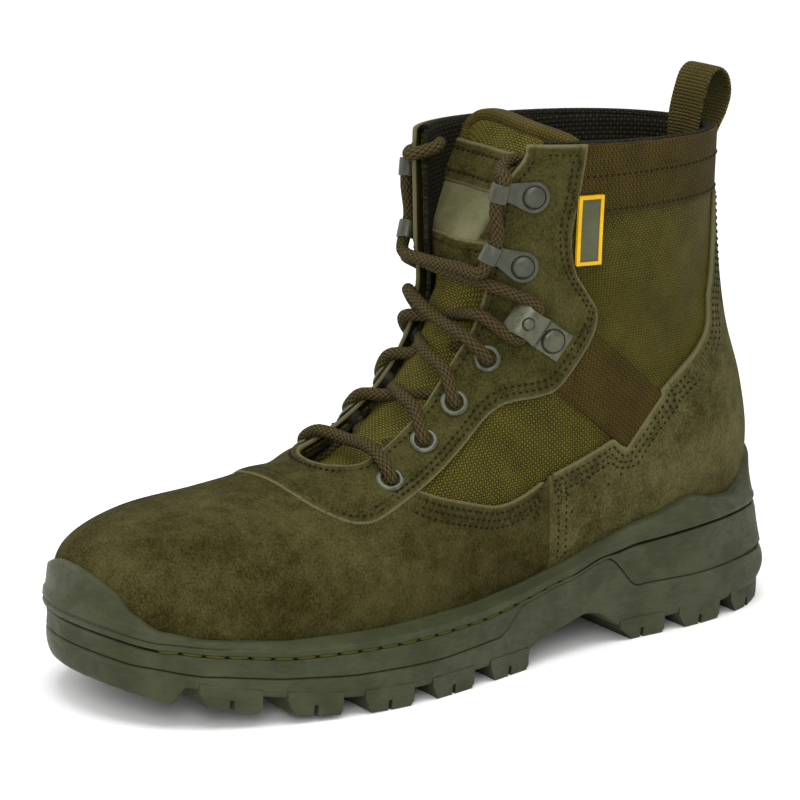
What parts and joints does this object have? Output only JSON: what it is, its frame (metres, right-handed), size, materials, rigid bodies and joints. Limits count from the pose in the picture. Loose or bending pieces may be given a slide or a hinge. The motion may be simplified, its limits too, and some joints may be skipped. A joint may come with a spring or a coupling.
{
  "type": "military boot",
  "caption": "Left military boot in brown-green suede and nylon, laced over a padded tongue through eyelets, locks and hooks, with pull loop, rubber rand and lugged sole.",
  "frame": {"origin": "middle of the bottom of the bounding box, on the ground", "axes": "toe towards -Y, outer side towards +X, up +Z"},
  "size_m": [0.1114, 0.3046, 0.2097],
  "materials": {
    "suede": "brushed suede, matte",
    "nylon": "woven nylon, matte",
    "webbing": "ribbed woven webbing",
    "lace": "round braid",
    "label": "plain woven label",
    "metal": "painted, worn at the edges",
    "rand_rubber": "matte rubber",
    "midsole_foam": "matte moulded foam",
    "outsole_rubber": "matte moulded rubber",
    "insole_cloth": "dark cloth"
  },
  "bodies": {
    "root": {"outsole": "outsole_rubber", "midsole": "midsole_foam", "rand": "rand_rubber", "insole": "insole_cloth", "upper": "nylon", "vamp": "suede", "heel_counter": "suede", "eyestay": "suede", "collar_band": "webbing", "strap_outer": "webbing", "strap_inner": "webbing", "tongue": "nylon", "tongue_cover": "suede", "tongue_badge": "label", "pull_loop": "webbing", "side_tag": "label", "lace_crossings": "lace", "eyelet_outer_1": "metal", "eyelet_outer_2": "metal", "eyelet_outer_3": "metal", "eyelet_outer_4": "metal", "speed_hook_outer_1": "metal", "speed_hook_outer_2": "metal", "lace_lock_outer": "metal", "eyelet_inner_1": "metal", "eyelet_inner_2": "metal", "eyelet_inner_3": "metal", "eyelet_inner_4": "metal", "speed_hook_inner_1": "metal", "speed_hook_inner_2": "metal", "lace_lock_inner": "metal"}
  },
  "joints": []
}
